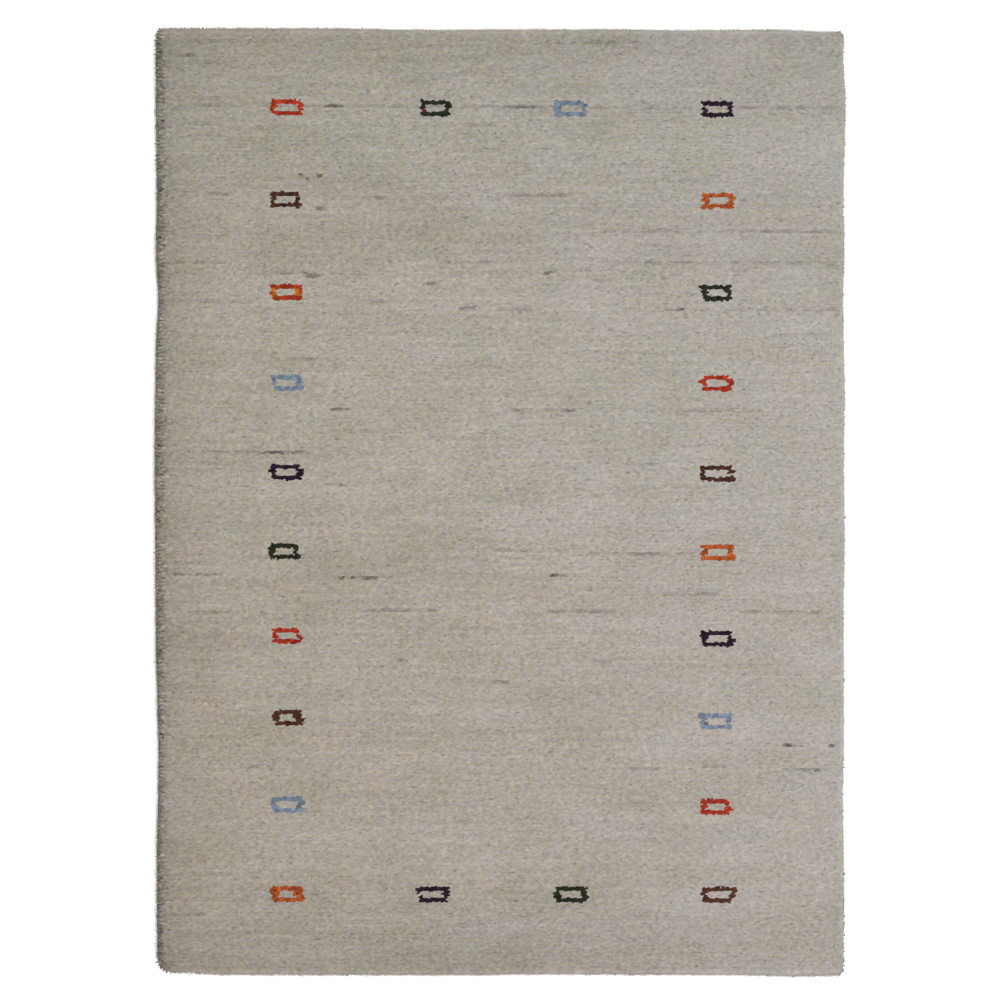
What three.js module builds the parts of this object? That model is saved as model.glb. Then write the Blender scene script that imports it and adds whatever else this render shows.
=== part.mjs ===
// A hand-knotted wool rug that lies flat: one slab of dense pile on a thin woven foundation.
// Millimetres, Z up. The rug's width runs along X and its length along Y, and it rests on the plane Z = 0.
// Its outline wanders a few millimetres, as a rug's does that was beaten down by hand, and each corner
// has its own roundness. The pile leans out over the foundation all round and rounds over at its top,
// which is a little uneven.

import * as THREE from "three";

// Driving dimensions
const RUG_WIDTH = 1220;
const RUG_LENGTH = 1675;
const RUG_THICKNESS = 15;
const TOP_UNEVENNESS = 0.5; // how far the cut pile rises above or falls below its usual height
const LEVEL_RIM = 20; // the top is level this far in from the nominal side
const FULL_UNEVENNESS = 60; // and reaches its full unevenness this far in

// How the outline wanders. One row for each station along a side, measured from the middle of the side:
// at is its place, towards +Y or +X, and out is how far the pile stands out there past the nominal side.
const LEFT_SIDE = [
  { at: -790, out: -1.6 },
  { at: -700, out: -0.7 },
  { at: -617, out: -0.7 },
  { at: -528, out: -2.8 },
  { at: -440, out: -3.7 },
  { at: -351, out: -1.4 },
  { at: -262, out: 0.9 },
  { at: -86, out: 2.1 },
  { at: 91, out: 3.2 },
  { at: 269, out: 1.2 },
  { at: 357, out: -3.2 },
  { at: 446, out: 1.1 },
  { at: 534, out: -0.7 },
  { at: 700, out: 0.9 },
  { at: 790, out: 1.1 },
];
const RIGHT_SIDE = [
  { at: -790, out: -0.6 },
  { at: -705, out: 0.4 },
  { at: -528, out: -1.9 },
  { at: -440, out: 0.0 },
  { at: -174, out: -0.2 },
  { at: -86, out: 1.8 },
  { at: 91, out: 0.2 },
  { at: 180, out: 1.8 },
  { at: 357, out: -1.4 },
  { at: 446, out: 1.2 },
  { at: 534, out: -0.5 },
  { at: 711, out: 2.8 },
  { at: 790, out: -0.9 },
];
const FAR_END = [
  { at: -574, out: 2.1 },
  { at: -308, out: 1.9 },
  { at: -131, out: -0.9 },
  { at: 46, out: 0.0 },
  { at: 223, out: 0.0 },
  { at: 312, out: -1.4 },
  { at: 489, out: -0.7 },
  { at: 586, out: -4.0 },
];
const NEAR_END = [
  { at: -574, out: -3.7 },
  { at: -485, out: 0.2 },
  { at: -308, out: 0.5 },
  { at: -42, out: 0.9 },
  { at: 46, out: -0.5 },
  { at: 400, out: 0.4 },
  { at: 543, out: 3.0 },
  { at: 590, out: 2.0 },
];

// Each corner's radius and where it lies, as signs along X and Y, walked anticlockwise
const CORNERS = {
  nearLeft: { radius: 24, x: -1, y: -1 },
  nearRight: { radius: 15, x: 1, y: -1 },
  farRight: { radius: 12, x: 1, y: 1 },
  farLeft: { radius: 16, x: -1, y: 1 },
};

// The section through an edge, from the underside up and over: inset is measured in from the outline.
const EDGE_SECTION = [
  { inset: 7.0, height: 0.0 },
  { inset: 5.6, height: 1.0 },
  { inset: 5.0, height: 3.0 },
  { inset: 2.6, height: 4.6 },
  { inset: 0.0, height: 8.0 },
  { inset: 1.6, height: 11.2 },
  { inset: 4.6, height: 13.4 },
  { inset: 8.6, height: 14.6 },
  { inset: 13.0, height: 15.0 },
];

// The lumps of the top: a sum of long waves, with their lengths along X and Y, and each one's share of
// the unevenness
const LUMPS = [
  { alongX: 610, alongY: 480, start: 0.4, share: 0.4 },
  { alongX: -330, alongY: 700, start: 2.1, share: 0.35 },
  { alongX: 205, alongY: -260, start: 4.0, share: 0.25 },
];

// How finely the surface is divided
const CORNER_STEPS = 3; // steps in each half of a corner's arc
const STEPS_ACROSS = 34; // between the arcs, along the width
const STEPS_ALONG = 46; // between the arcs, along the length

// A smooth reading of a table of stations: straight between two of them, eased at both.
function readOut(stations, at) {
  const last = stations.length - 1;
  if (at <= stations[0].at) return stations[0].out;
  if (at >= stations[last].at) return stations[last].out;
  const next = stations.findIndex((station) => station.at > at);
  const from = stations[next - 1];
  const to = stations[next];
  const part = THREE.MathUtils.smoothstep(at, from.at, to.at);
  return THREE.MathUtils.lerp(from.out, to.out, part);
}

// A point on the nominal rectangle with rounded corners, moved out as the tables say.
function wander(point) {
  const halfWidth = RUG_WIDTH / 2;
  const halfLength = RUG_LENGTH / 2;
  const sideOut = point.x < 0 ? readOut(LEFT_SIDE, point.y) : readOut(RIGHT_SIDE, point.y);
  const endOut = point.y < 0 ? readOut(NEAR_END, point.x) : readOut(FAR_END, point.x);
  point.x *= (halfWidth + sideOut) / halfWidth;
  point.y *= (halfLength + endOut) / halfLength;
  return point;
}

// Half of a corner's arc, from its middle to where the straight side starts, as points without the last.
// towardsX says which side it runs to: the one along X or the one along Y.
function halfArc(corner, inset, towardsX) {
  const radius = Math.max(corner.radius - inset, 1);
  const centreX = corner.x * (RUG_WIDTH / 2 - inset - radius);
  const centreY = corner.y * (RUG_LENGTH / 2 - inset - radius);
  const points = [];
  for (let step = 0; step < CORNER_STEPS; step += 1) {
    const turn = (step / CORNER_STEPS) * (Math.PI / 4);
    const angle = Math.PI / 4 + (towardsX ? turn : -turn);
    points.push(
      new THREE.Vector2(
        centreX + corner.x * radius * Math.cos(angle),
        centreY + corner.y * radius * Math.sin(angle),
      ),
    );
  }
  return points;
}

// One side of the outline at an inset, from the middle of one corner's arc to the middle of the next's,
// with both of those points.
function sidePoints(from, to, inset, alongX) {
  const steps = alongX ? STEPS_ACROSS : STEPS_ALONG;
  const leaving = halfArc(from, inset, alongX);
  const arriving = halfArc(to, inset, alongX).reverse();
  const start = new THREE.Vector2();
  const end = new THREE.Vector2();
  const fromRadius = Math.max(from.radius - inset, 1);
  const toRadius = Math.max(to.radius - inset, 1);
  if (alongX) {
    start.set(from.x * (RUG_WIDTH / 2 - inset - fromRadius), from.y * (RUG_LENGTH / 2 - inset));
    end.set(to.x * (RUG_WIDTH / 2 - inset - toRadius), to.y * (RUG_LENGTH / 2 - inset));
  } else {
    start.set(from.x * (RUG_WIDTH / 2 - inset), from.y * (RUG_LENGTH / 2 - inset - fromRadius));
    end.set(to.x * (RUG_WIDTH / 2 - inset), to.y * (RUG_LENGTH / 2 - inset - toRadius));
  }
  const straight = [];
  for (let step = 0; step <= steps; step += 1) {
    straight.push(new THREE.Vector2().lerpVectors(start, end, step / steps));
  }
  return [...leaving, ...straight, ...arriving].map(wander);
}

// The four sides at an inset, each with both of its corner points.
function sidesAt(inset) {
  const { nearLeft, nearRight, farRight, farLeft } = CORNERS;
  return {
    near: sidePoints(nearLeft, nearRight, inset, true),
    right: sidePoints(nearRight, farRight, inset, false),
    far: sidePoints(farLeft, farRight, inset, true),
    left: sidePoints(nearLeft, farLeft, inset, false),
  };
}

// The closed loop of one ring of the edge, anticlockwise from the near left corner.
function loopAt(inset) {
  const { near, right, far, left } = sidesAt(inset);
  return [
    ...near.slice(0, -1),
    ...right.slice(0, -1),
    ...[...far].reverse().slice(0, -1),
    ...[...left].reverse().slice(0, -1),
  ];
}

// The height of the top at a place: the pile's usual height, and lumps that fade out towards the rim.
function topHeight(x, y) {
  const fromRim = Math.min(RUG_WIDTH / 2 - Math.abs(x), RUG_LENGTH / 2 - Math.abs(y));
  const fade = THREE.MathUtils.smoothstep(fromRim, LEVEL_RIM, FULL_UNEVENNESS);
  let lump = 0;
  for (const { alongX, alongY, start, share } of LUMPS) {
    lump += share * Math.sin(2 * Math.PI * (x / alongX + y / alongY) + start);
  }
  return RUG_THICKNESS + TOP_UNEVENNESS * fade * lump;
}

// A grid whose rim is the innermost ring: each inner point is blended from the four sides.
function topGrid(sides) {
  const { near, right, far, left } = sides;
  const columns = near.length;
  const rows = left.length;
  const grid = [];
  for (let row = 0; row < rows; row += 1) {
    for (let column = 0; column < columns; column += 1) {
      const u = column / (columns - 1);
      const v = row / (rows - 1);
      const across = new THREE.Vector2().lerpVectors(left[row], right[row], u);
      const along = new THREE.Vector2().lerpVectors(near[column], far[column], v);
      const low = new THREE.Vector2().lerpVectors(near[0], near[columns - 1], u);
      const high = new THREE.Vector2().lerpVectors(far[0], far[columns - 1], u);
      const corner = low.lerp(high, v);
      grid.push(across.add(along).sub(corner));
    }
  }
  return { grid, columns, rows };
}

// The whole rug as one closed body.
function rugGeometry() {
  const positions = [];
  const triangles = [];
  const rings = EDGE_SECTION.map(({ inset }) => loopAt(inset));
  const around = rings[0].length;

  rings.forEach((ring, level) => {
    for (const { x, y } of ring) positions.push(x, y, EDGE_SECTION[level].height);
  });

  // The wall between each ring and the next
  for (let level = 0; level + 1 < rings.length; level += 1) {
    for (let i = 0; i < around; i += 1) {
      const below = level * around + i;
      const belowNext = level * around + ((i + 1) % around);
      const above = below + around;
      const aboveNext = belowNext + around;
      triangles.push(below, belowNext, aboveNext, below, aboveNext, above);
    }
  }

  // The flat underside, facing down
  for (const [a, b, c] of THREE.ShapeUtils.triangulateShape(rings[0], [])) {
    triangles.push(a, c, b);
  }

  // The top
  const { grid, columns, rows } = topGrid(sidesAt(EDGE_SECTION.at(-1).inset));
  const firstOfTop = positions.length / 3;
  for (const { x, y } of grid) positions.push(x, y, topHeight(x, y));
  for (let row = 0; row + 1 < rows; row += 1) {
    for (let column = 0; column + 1 < columns; column += 1) {
      const here = firstOfTop + row * columns + column;
      const beside = here + 1;
      const beyond = here + columns;
      const across = beyond + 1;
      triangles.push(here, beside, across, here, across, beyond);
    }
  }

  const geometry = new THREE.BufferGeometry();
  geometry.setAttribute("position", new THREE.Float32BufferAttribute(positions, 3));
  geometry.setIndex(triangles);
  // The origin is at the middle of the rug's own box, which the wander moves off the nominal middle
  geometry.computeBoundingBox();
  const middle = geometry.boundingBox.getCenter(new THREE.Vector3());
  geometry.translate(-middle.x, -middle.y, 0);
  geometry.computeVertexNormals();
  return geometry;
}

const undyedWool = new THREE.MeshStandardMaterial({
  color: 0xa59f93,
  roughness: 0.95,
  metalness: 0,
});

const rug = new THREE.Mesh(rugGeometry(), undyedWool);
rug.name = "rug";

const group = new THREE.Group();
group.add(rug);

export default group;
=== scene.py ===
# %% [markdown]
# The looks of a hand-knotted wool rug.
#
# The CAD part is one flat slab with the rug's real outline. A real rug is thousands of knots of wool,
# tied in rows round the warps of a thin woven foundation and cut off level. This script builds that:
# a foundation that carries the knots, and a pile whose every cut end is a small mesh of its own.

import math

import bpy
import numpy as np
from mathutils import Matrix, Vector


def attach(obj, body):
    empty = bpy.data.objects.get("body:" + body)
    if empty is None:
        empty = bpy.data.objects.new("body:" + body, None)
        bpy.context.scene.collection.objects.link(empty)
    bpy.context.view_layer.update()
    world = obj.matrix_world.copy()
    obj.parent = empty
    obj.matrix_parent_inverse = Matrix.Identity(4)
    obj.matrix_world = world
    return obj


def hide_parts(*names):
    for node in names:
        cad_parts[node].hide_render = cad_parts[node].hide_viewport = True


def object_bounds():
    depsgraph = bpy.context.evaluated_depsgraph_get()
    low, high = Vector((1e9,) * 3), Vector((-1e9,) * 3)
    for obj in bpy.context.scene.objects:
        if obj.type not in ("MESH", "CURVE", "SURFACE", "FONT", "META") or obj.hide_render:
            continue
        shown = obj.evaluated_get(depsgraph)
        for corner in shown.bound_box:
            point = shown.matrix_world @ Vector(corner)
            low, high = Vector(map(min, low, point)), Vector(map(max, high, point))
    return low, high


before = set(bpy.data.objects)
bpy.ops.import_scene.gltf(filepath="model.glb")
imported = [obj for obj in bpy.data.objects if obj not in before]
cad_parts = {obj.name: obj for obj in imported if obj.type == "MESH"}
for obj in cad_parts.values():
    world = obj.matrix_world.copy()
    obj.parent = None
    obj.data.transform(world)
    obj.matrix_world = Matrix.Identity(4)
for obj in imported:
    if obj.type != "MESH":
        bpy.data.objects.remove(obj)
cad_low, cad_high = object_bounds()
MM = 0.001
print("CAD box in mm:", [round(v / MM, 1) for v in (*cad_low, *cad_high)])

# %% [markdown]
# Objects, nodes and materials are made many times below, so a few short functions do it. A node is made
# in one call: its settings, what goes into it, and which of its outputs is wanted. An input is given
# either a value or another node's output, which is then linked to it.


# %% Short ways to make objects and nodes
def add_object(name, data):
    """An object in the scene, at the origin and unturned."""
    made = bpy.data.objects.new(name, data)
    bpy.context.scene.collection.objects.link(made)
    return made


def fill_inputs(tree, node, inputs):
    for label, given in inputs.items():
        if isinstance(given, bpy.types.NodeSocket):
            tree.links.new(given, node.inputs[label])
        else:
            node.inputs[label].default_value = given


def add_node(tree, kind, output, inputs, **settings):
    """Adds a node, makes its settings, fills its inputs and gives back one of its outputs."""
    node = tree.nodes.new(kind)
    for name, setting in settings.items():
        setattr(node, name, setting)
    fill_inputs(tree, node, inputs)
    return node.outputs[output]


def add_math(tree, operation, first, second):
    return add_node(tree, "ShaderNodeMath", "Value", {0: first, 1: second}, operation=operation)


def add_vector(tree, operation, first, second):
    return add_node(tree, "ShaderNodeVectorMath", "Vector", {0: first, 1: second}, operation=operation)


def add_scaled(tree, vector, level):
    inputs = {0: vector, "Scale": level}
    return add_node(tree, "ShaderNodeVectorMath", "Vector", inputs, operation="SCALE")


def new_group(kind, name, inputs, outputs):
    """A node group with named sockets, then what it is given and the node that takes its results."""
    group = bpy.data.node_groups.new(name, kind)
    for label, socket_kind, value in inputs:
        socket = group.interface.new_socket(label, in_out="INPUT", socket_type="NodeSocket" + socket_kind)
        if value is not None:
            socket.default_value = value
    for label, socket_kind in outputs:
        group.interface.new_socket(label, in_out="OUTPUT", socket_type="NodeSocket" + socket_kind)
    return group, group.nodes.new("NodeGroupInput").outputs, group.nodes.new("NodeGroupOutput")


def start_material(name, inputs):
    """A material whose shader has these inputs, with its tree and the shader."""
    material = bpy.data.materials.new(name)
    material.use_nodes = True
    shader = material.node_tree.nodes["Principled BSDF"]
    fill_inputs(material.node_tree, shader, inputs)
    return material, material.node_tree, shader


# %% [markdown]
# The rug lies flat and the camera hangs straight above it, as for a shop's picture. A long lens keeps
# the edges free of perspective. The camera could be orthographic, but a lens is what a studio has, and
# then the other views keep a natural depth.

# %% Hang the camera over the rug
VIEW_WIDTH = 1.771  # metres of floor that the square picture spans
LENS = 85.0
SENSOR = 36.0
PILE_TOP = cad_high.z
LOOK_AT = (0.0009, 0.0039)  # the picture's middle, a little beyond the rug's own

camera_data = bpy.data.cameras.new("studio_camera")
camera_data.lens = LENS
camera_data.sensor_width = SENSOR
camera = add_object("studio_camera", camera_data)
camera.location = (*LOOK_AT, PILE_TOP + VIEW_WIDTH * LENS / SENSOR)
bpy.context.scene.camera = camera
print("camera height:", round(camera.location.z, 3), "m")

# %% [markdown]
# Soft light comes from all round, from a pale sky, and a broad lamp on the right gives the pile its
# direction: the right edge is bright and the left edge falls into shade. A small hard lamp would pick
# out every strand, which a bank of studio lamps doesn't.

# %% Light the studio
SKY_STRENGTH = 0.66
LAMP_POWER = 148.0
LAMP_SIZE = 2.4
LAMP_PLACE = (3.0, 0.0, 4.0)
FLOOR_SIZE = 9.0
FLOOR_DROP = 0.5 * MM
FLOOR_GLOW = 0.55  # a white backdrop has lamps of its own, and this stands for them
WHITE = (1.0, 1.0, 1.0, 1.0)
CORNERS = [(-1, -1), (1, -1), (1, 1), (-1, 1)]  # anticlockwise from the near left

world = bpy.data.worlds.new("studio_sky")
world.use_nodes = True
sky = world.node_tree.nodes["Background"]
fill_inputs(world.node_tree, sky, {"Color": WHITE, "Strength": SKY_STRENGTH})
bpy.context.scene.world = world
bpy.context.scene.view_settings.view_transform = "Standard"

lamp_data = bpy.data.lights.new("broad_lamp", "AREA")
lamp_data.energy = LAMP_POWER
lamp_data.size = LAMP_SIZE
lamp = add_object("broad_lamp", lamp_data)
lamp.location = LAMP_PLACE
lamp.rotation_euler = (-lamp.location).to_track_quat("-Z", "Y").to_euler()

floor_look = {
    "Base Color": (0.93, 0.93, 0.93, 1.0),
    "Roughness": 0.8,
    "Emission Color": WHITE,
    "Emission Strength": FLOOR_GLOW,
}
floor_mesh = bpy.data.meshes.new("studio_floor")
floor_points = [(x * FLOOR_SIZE / 2, y * FLOOR_SIZE / 2, -FLOOR_DROP) for x, y in CORNERS]
floor_mesh.from_pydata(floor_points, [], [(0, 1, 2, 3)])
floor_mesh.materials.append(start_material("pale_floor", floor_look)[0])
floor = add_object("studio_floor", floor_mesh)

# %% [markdown]
# The rug's sizes are the CAD part's own. The sides of a rug that was beaten down by hand wander by a few
# millimetres, and these tables say by how much: each row has a place along the side and how far the pile
# stands out there, in millimetres, read smoothly from one to the next.

# %% The rug's sizes and its wandering outline
HALF_WIDTH = 610 * MM
HALF_LENGTH = 837.5 * MM
CORNER_RADII = {(-1, -1): 24 * MM, (1, -1): 15 * MM, (1, 1): 12 * MM, (-1, 1): 16 * MM}

# at, out
LEFT_SIDE = [
    (-790, -1.6), (-700, -0.7), (-617, -0.7), (-528, -2.8), (-440, -3.7), (-351, -1.4), (-262, 0.9),
    (-86, 2.1), (91, 3.2), (269, 1.2), (357, -3.2), (446, 1.1), (534, -0.7), (700, 0.9), (790, 1.1),
]
RIGHT_SIDE = [
    (-790, -0.6), (-705, 0.4), (-528, -1.9), (-440, 0.0), (-174, -0.2), (-86, 1.8), (91, 0.2),
    (180, 1.8), (357, -1.4), (446, 1.2), (534, -0.5), (711, 2.8), (790, -0.9),
]
FAR_END = [
    (-574, 2.1), (-308, 1.9), (-131, -0.9), (46, 0.0), (223, 0.0), (312, -1.4), (489, -0.7), (586, -4.0),
]
NEAR_END = [
    (-574, -3.7), (-485, 0.2), (-308, 0.5), (-42, 0.9), (46, -0.5), (400, 0.4), (543, 3.0), (590, 2.0),
]


def most_out(stations):
    return max(out for _, out in stations) * MM


# The CAD part is centred on its own box, which the wander moves off the nominal middle
SHIFT_X = (most_out(LEFT_SIDE) - most_out(RIGHT_SIDE)) / 2
SHIFT_Y = (most_out(NEAR_END) - most_out(FAR_END)) / 2


def smooth(value, low, high):
    part = np.clip((value - low) / (high - low), 0, 1)
    return part * part * (3 - 2 * part)


def read_out(stations, at):
    places, outs = np.array(stations, float).T * MM
    at = np.clip(at, places[0], places[-1])
    after = np.clip(np.searchsorted(places, at, side="right"), 1, len(places) - 1)
    part = smooth(at, places[after - 1], places[after])
    return outs[after - 1] + (outs[after] - outs[after - 1]) * part


END_REACH = 120 * MM  # knots this near an end follow its wander


def wander(x, y):
    """Moves places of the nominal rug as the tables say, and into the frame."""
    side_out = np.where(x < 0, read_out(LEFT_SIDE, y), read_out(RIGHT_SIDE, y))
    end_out = np.where(y < 0, read_out(NEAR_END, x), read_out(FAR_END, x))
    near_end = smooth(np.abs(y), HALF_LENGTH - END_REACH, HALF_LENGTH)
    return x * (1 + side_out / HALF_WIDTH) + SHIFT_X, y + np.sign(y) * end_out * near_end + SHIFT_Y


def inset_and_way_out(x, y):
    """How far in from the nominal outline a place lies, and the direction straight out from there."""
    radius = np.zeros_like(x)
    for (side_x, side_y), corner in CORNER_RADII.items():
        radius[(x * side_x >= 0) & (y * side_y >= 0)] = corner
    past_x = np.abs(x) - (HALF_WIDTH - radius)
    past_y = np.abs(y) - (HALF_LENGTH - radius)
    over_x, over_y = np.maximum(past_x, 0), np.maximum(past_y, 0)
    over = np.hypot(over_x, over_y)
    inset = radius - over - np.minimum(np.maximum(past_x, past_y), 0)
    rounded = over > 0
    safe = np.where(rounded, over, 1)
    way_x = np.where(rounded, over_x / safe, past_x > past_y) * np.sign(x)
    way_y = np.where(rounded, over_y / safe, past_x <= past_y) * np.sign(y)
    return inset, way_x, way_y


print("shift of the outline in mm:", round(SHIFT_X / MM, 2), round(SHIFT_Y / MM, 2))

# %% [markdown]
# A weaver ties one knot round each pair of warps, row after row, and beats each row down. So the knots
# lie on a grid, nearly square here, whose columns are straight and whose rows drift up and down a little.
# The rows that hold the motifs are known on both sides of the rug, and the others are spaced out evenly
# between them.

# %% The grid of knots
KNOT_COLUMNS = 188
KNOT_ROWS = 261
FOUNDATION_INSET = 7 * MM  # the knots stop this far in from the pile's outline
COLUMN_PITCH = 2 * (HALF_WIDTH - FOUNDATION_INSET) / KNOT_COLUMNS
FIRST_ROW_EDGE = -(HALF_LENGTH - FOUNDATION_INSET)
ROW_PITCH = -2 * FIRST_ROW_EDGE / KNOT_ROWS

# The middle line of each row of motifs: rows counted from the near end, then its place along the rug's
# length under the left column of motifs and under the right one, in millimetres
MOTIF_LINES = [
    (21, -694.5, -695.7),
    (46, -536.2, -540.1),
    (70, -382.3, -388.8),
    (93, -237.1, -242.4),
    (117, -87.4, -89.7),
    (139, 52.7, 50.0),
    (164, 211.2, 210.5),
    (189, 371.4, 370.0),
    (215, 535.4, 533.5),
    (240, 699.3, 695.4),
]
LEFT_COLUMN = -377 * MM
RIGHT_COLUMN = 386 * MM
PAST_COLUMNS = 0.3  # past the columns the rows keep their slant for this share of the way between them


def row_edge(row, x):
    """Where the edge below a row lies, at a place across the rug."""
    first = (0, FIRST_ROW_EDGE / MM, FIRST_ROW_EDGE / MM)
    last = (KNOT_ROWS, -FIRST_ROW_EDGE / MM, -FIRST_ROW_EDGE / MM)
    rows, left, right = np.array([first, *MOTIF_LINES, last], float).T
    across = (x - LEFT_COLUMN) / (RIGHT_COLUMN - LEFT_COLUMN)
    across = np.clip(across, -PAST_COLUMNS, 1 + PAST_COLUMNS)
    at_left = np.interp(row, rows, left) * MM
    at_right = np.interp(row, rows, right) * MM
    return at_left + (at_right - at_left) * across


print("knots:", KNOT_COLUMNS * KNOT_ROWS)
print("pitch in mm:", round(COLUMN_PITCH / MM, 2), "by", round(ROW_PITCH / MM, 2))

# %% [markdown]
# The pattern is charted as a weaver would chart it. Each motif is a hollow rectangle about nine knots
# wide and four rows high, and no two came out alike: a bar is a knot too long, or a side has a gap. A
# chart gives the rows from the top down, and in each row the stretches of dyed knots, from and to,
# counted in knots from the motif's middle. An image would hold the same, but it couldn't be read or
# changed by hand.

# %% The dyes and the charts of the motifs
DYES = {
    "red": (0.350, 0.030, 0.014),
    "red orange": (0.330, 0.038, 0.010),
    "orange": (0.365, 0.080, 0.020),
    "yellow orange": (0.480, 0.150, 0.020),
    "dark green": (0.020, 0.022, 0.013),
    "light blue": (0.168, 0.208, 0.270),
    "dark purple": (0.022, 0.009, 0.020),
    "brown": (0.074, 0.027, 0.017),
    "dark brown": (0.060, 0.022, 0.015),
    "maroon": (0.090, 0.013, 0.017),
    "ochre": (0.270, 0.203, 0.132),
}

# dye, place across in mm, line of motifs counted from the near end, chart
MOTIFS = [
    ("red", -376.7, 10, "-4 4 / -4 -3, 3 4.5 / -4.5 -3.5, 3 4 / -4 4"),
    ("dark green", -113.9, 10, "-4 4.5 / -4 -2.5, 3 4.5 / 3 4 / -3.5 4"),
    ("light blue", 125.7, 10, "-4.5 3.5 / -4.5 -3, 3 4.5 / -4.5 -3, 3 4 / -4.5 4"),
    ("dark purple", 385.2, 10, "-4.5 4.5 / -4 -3, 3 4.5 / -4 -3, 3.5 4.5 / -4 4.5"),
    ("dark brown", -379.0, 9, "-4 3.5 / -4 -2.5, 2.5 3.5 / -4 -3.5, 2.5 3.5 / -4 4"),
    ("red orange", -378.3, 8, "-4.5 4 / -4 -2.5, 2.5 4 / -4 -2.5, 2.5 4 / -4 4"),
    ("light blue", -376.0, 7, "-4 3.5 / -4 -3, 2 4 / -4 -3, 2.5 4 / -4 4.5"),
    ("dark purple", -377.4, 6, "-4 3.5 / -4.5 -3, 3 4.5 / -4 -3, 3 4.5 / -4 4"),
    ("dark green", -379.0, 5, "-4.5 3.5 / -4.5 -3, 2.5 3.5 / -4.5 -3, 2.5 3.5 / -4 4"),
    ("red", -375.5, 4, "-4 3 / -4 -3, 2 3 / -4 -3, 3 4 / -4 3.5"),
    ("brown", -375.6, 3, "-3.5 3.5 / -4 -2.5, 2 4 / -4 -2.5, 2 4.5 / -3.5 4"),
    ("light blue", -374.2, 2, "-4.5 4 / -4.5 -3, 2.5 4.5 / -4.5 -3, 2.5 4 / -4 4"),
    ("orange", 386.6, 9, "-4.5 4 / -4.5 -2.5, 3 4.5 / -4 -2.5, 3 4 / -4.5 4.5"),
    ("dark green", 383.9, 8, "-4.5 4 / -4 -2.5, 2.5 4.5 / -3.5 -2.5, 3 4 / -3.5 4"),
    ("red", 383.9, 7, "-3.5 3.5 / -4.5 -2.5, 3 4.5 / -3.5 -2.5, 3 4.5 / -3.5 4"),
    ("dark brown", 385.9, 6, "-4.5 4 / -4.5 -3.5, 3 4.5 / -4.5 -3.5, 3.5 4.5 / -4.5 4.5"),
    ("orange", 385.9, 5, "-4.5 4.5 / -4 -3, 3 4.5 / -4.5 -3, 3 4.5 / -4 4.5"),
    ("dark purple", 386.6, 4, "-4.5 4 / -4.5 -3, 3 4 / -4.5 -3, 3 4.5 / -4.5 4.5"),
    ("light blue", 382.3, 3, "-4.5 4.5 / -4 -2.5, 3 4.5 / -4 -2.5, 3 4 / -4 4.5"),
    ("red", 382.5, 2, "-4 3.5 / -4 -2.5, 3 4 / -4 -2.5, 3 4.5 / -4 3.5"),
    ("orange", -375.8, 1, "-4.5 4 / -4.5 -2.5, 2 4 / -4.5 -2.5, 2 4.5 / -4 4.5"),
    ("dark purple", -116.9, 1, "-4.5 4 / -4.5 -3.5, 2.5 4.5 / -4 -3.5, 2.5 4.5 / -4 4"),
    ("dark green", 126.3, 1, "-4.5 4.5 / -4.5 -3, 2.5 4.5 / -4.5 -3, 2.5 4.5 / -3.5 4.5"),
    ("brown", 386.8, 1, "-4.5 5 / -4.5 -3, 3.5 5 / -4.5 -3, 3.5 4.5 / -4.5 4"),
]

# Single knots of another dye: dye, place across in mm, row from the near end
LONE_KNOTS = [
    ("maroon", -135.4, 239),
    ("yellow orange", -399.9, 189),
    ("yellow orange", -399.9, 188),
    ("yellow orange", -358.4, 189),
    ("yellow orange", -358.4, 188),
    ("ochre", -350.0, 221),
    ("ochre", -341.0, 220),
    ("ochre", -320.0, 221),
]
ROWS_IN_MOTIF = 4


def read_chart(chart):
    """The chart's rows, each a list of stretches (from, to) in metres from the motif's middle."""
    rows = []
    for line in chart.split("/"):
        stretches = [[float(number) for number in stretch.split()] for stretch in line.split(",")]
        rows.append([(start * COLUMN_PITCH, end * COLUMN_PITCH) for start, end in stretches])
    return rows


def dye_knots(x, row):
    """The dye at places across the rug in their rows, which of them are dyed, and how many rows up or
    down each lies from the middle of its motif."""
    colour = np.zeros((len(x), 3))
    dyed = np.zeros(len(x), bool)
    from_middle_row = np.zeros(len(x))
    for dye, middle, line, chart in MOTIFS:
        top_row = MOTIF_LINES[line - 1][0] + ROWS_IN_MOTIF // 2 - 1
        for below_top, stretches in enumerate(read_chart(chart)):
            for start, end in stretches:
                from_middle = x - middle * MM
                hit = (row == top_row - below_top) & (from_middle > start) & (from_middle < end)
                colour[hit] = DYES[dye]
                dyed[hit] = True
                from_middle_row[hit] = (ROWS_IN_MOTIF - 1) / 2 - below_top
    for dye, middle, lone_row in LONE_KNOTS:
        hit = (row == lone_row) & (np.abs(x - middle * MM) < COLUMN_PITCH / 2)
        colour[hit] = DYES[dye]
        dyed[hit] = True
    return colour, dyed, from_middle_row


print("motifs:", len(MOTIFS), "dyes:", len(DYES))

# %% [markdown]
# The ground is undyed wool, sheared from sheep of more than one colour and never blended evenly. Where a
# darker tuft went into the yarn, a row shows a dark dash, and long faint lines show where a new hank was
# started. The dashes that catch the eye have their places in a table. Each runs in one row of knots and
# stains their ends in blots, the nearest line of ends more than the other one.

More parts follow.
